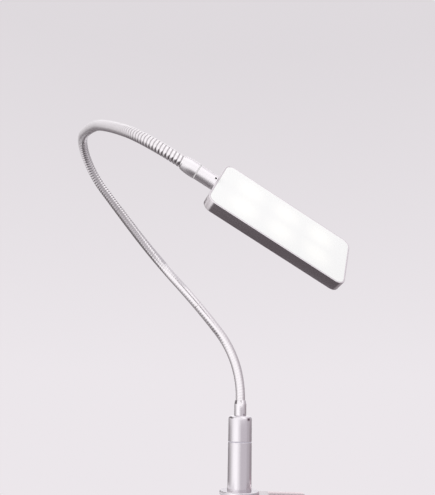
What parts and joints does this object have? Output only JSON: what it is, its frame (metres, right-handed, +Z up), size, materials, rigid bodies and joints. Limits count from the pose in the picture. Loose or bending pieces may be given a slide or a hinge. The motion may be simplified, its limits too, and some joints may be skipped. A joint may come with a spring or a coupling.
{
  "type": "clip-on reading lamp",
  "caption": "Clip-on LED reading lamp: sprung jaw clip, round post with a turning cap, bent ribbed gooseneck and a slim flat head with an opal lit panel that swivels on its stem.",
  "frame": {"origin": "middle of the upper jaw pad's gripping face, which rests on the shelf or board", "axes": "+Z up along the post, +X from the jaws to the handles, +Y away from the reader"},
  "size_m": [0.2376, 0.2148, 0.3652],
  "materials": {
    "clip_steel": "satin nickel plate",
    "fixing_steel": "bright zinc plate",
    "spring_steel": "bare drawn wire",
    "pad_rubber": "matt moulded",
    "post_aluminium": "satin anodised",
    "washer_plastic": "matt",
    "neck_chrome": "satin plated, ribbed",
    "washer_white": "matt",
    "screw_black": "black oxide",
    "head_aluminium": "satin anodised",
    "board_white": "white solder mask",
    "led_phosphor": "clear",
    "opal_plastic": "opal, lit"
  },
  "bodies": {
    "clip": {"upper_arm": "clip_steel", "upper_pad": "pad_rubber", "hinge_pin": "fixing_steel", "clip_spring": "spring_steel", "flange": "post_aluminium", "post_stud": "fixing_steel", "post_nut": "fixing_steel", "lower_post": "post_aluminium", "friction_washer": "washer_plastic"},
    "jaw": {"lower_arm": "clip_steel", "lower_pad": "pad_rubber"},
    "post_top": {"post_cap": "post_aluminium", "retaining_ring": "fixing_steel", "base_ferrule": "post_aluminium", "neck_1": "neck_chrome"},
    "neck_link_2": {"neck_2": "neck_chrome"},
    "neck_link_3": {"neck_3": "neck_chrome"},
    "neck_link_4": {"neck_4": "neck_chrome"},
    "neck_link_5": {"neck_5": "neck_chrome"},
    "neck_link_6": {"neck_6": "neck_chrome"},
    "neck_link_7": {"neck_7": "neck_chrome"},
    "neck_end": {"neck_8": "neck_chrome", "head_ferrule": "post_aluminium", "stem_washer": "washer_white", "stem_ring": "fixing_steel"},
    "head": {"stem_barrel": "post_aluminium", "stem_screw": "screw_black", "head_stud": "fixing_steel", "head_housing": "head_aluminium", "led_board": "board_white", "leds": "led_phosphor", "diffuser": "opal_plastic"}
  },
  "joints": [
    {"name": "jaw_hinge", "type": "hinge", "parent": "clip", "child": "jaw", "pos_m": [0.046, 0, -0.003], "axis": [0, -1, 0], "range_deg": [0, 26], "stiffness_Nm_per_rad": 0.7, "springref_deg": -45.84, "deforming": ["clip_spring"]},
    {"name": "post_swivel", "type": "hinge", "parent": "clip", "child": "post_top", "pos_m": [0.03, 0, 0.0552], "axis": [0, 0, 1], "range_deg": [-170, 170]},
    {"name": "neck_nod_1", "type": "hinge", "parent": "post_top", "child": "neck_link_2", "pos_m": [0.00699, -0.00837, 0.15548], "axis": [0.7732, -0.0826, 0.6288], "range_deg": [-25, 25]},
    {"name": "neck_sway_1", "type": "hinge", "parent": "neck_link_2", "child": "neck_link_3", "pos_m": [-0.03269, -0.01916, 0.19912], "axis": [-0.0207, 0.9868, 0.1608], "range_deg": [-25, 25]},
    {"name": "neck_nod_2", "type": "hinge", "parent": "neck_link_3", "child": "neck_link_4", "pos_m": [-0.07871, -0.01857, 0.25149], "axis": [0.7718, -0.0973, 0.6284], "range_deg": [-25, 25]},
    {"name": "neck_sway_2", "type": "hinge", "parent": "neck_link_4", "child": "neck_link_5", "pos_m": [-0.11277, -0.01718, 0.29446], "axis": [0.0171, 0.9905, 0.1365], "range_deg": [-25, 25]},
    {"name": "neck_nod_3", "type": "hinge", "parent": "neck_link_5", "child": "neck_link_6", "pos_m": [-0.12238, -0.07432, 0.32863], "axis": [0.8654, 0.381, 0.3254], "range_deg": [-25, 25]},
    {"name": "neck_sway_3", "type": "hinge", "parent": "neck_link_6", "child": "neck_link_7", "pos_m": [-0.09545, -0.12396, 0.30894], "axis": [-0.0905, -0.5344, 0.8403], "range_deg": [-25, 25]},
    {"name": "neck_nod_4", "type": "hinge", "parent": "neck_link_7", "child": "neck_end", "pos_m": [-0.06618, -0.16772, 0.2803], "axis": [0.8416, 0.4059, 0.3562], "range_deg": [-25, 25]},
    {"name": "head_swivel", "type": "hinge", "parent": "neck_end", "child": "head", "pos_m": [-0.01042, -0.17971, 0.24288], "axis": [0.8538, 0.2246, -0.4697], "range_deg": [-90, 90]}
  ]
}
